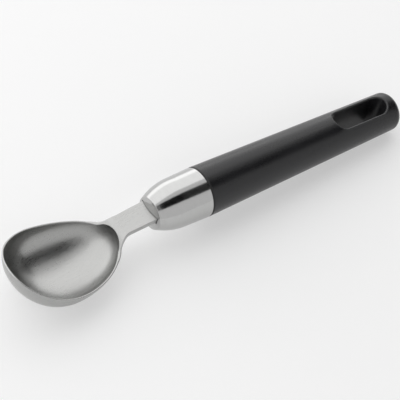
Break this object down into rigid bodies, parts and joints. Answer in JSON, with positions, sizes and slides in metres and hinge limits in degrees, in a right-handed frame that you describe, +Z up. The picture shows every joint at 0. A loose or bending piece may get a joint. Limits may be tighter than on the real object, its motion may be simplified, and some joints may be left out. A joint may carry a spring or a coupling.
{
  "type": "ice cream scoop",
  "caption": "Rigid ice cream scoop: egg-shaped steel bowl on a flat bent neck, conical steel ferrule and a round tapered black grip with a long hanging slot.",
  "frame": {"origin": "centre of the scoop's box in plan, at the height of the surface on which it lies", "axes": "+X along the scoop towards the grip's end, -X towards the bowl's tip, +Z up, as it lies on the bowl's bottom and the grip's end"},
  "size_m": [0.2138, 0.0416, 0.0286],
  "materials": {
    "head_steel": "satin, fine brushing",
    "ferrule_steel": "satin, fine lengthwise brushing",
    "seal_rubber": "matte",
    "ring_plastic": "matte",
    "core_plastic": "moulded",
    "pin_steel": "turned",
    "grip_plastic": "fine moulded grain"
  },
  "bodies": {
    "root": {"scoop_head": "head_steel", "ferrule": "ferrule_steel", "nose_seal": "seal_rubber", "joint_ring": "ring_plastic", "core_upper": "core_plastic", "core_lower": "core_plastic", "tang_pins": "pin_steel", "handle_grip": "grip_plastic"}
  },
  "joints": []
}
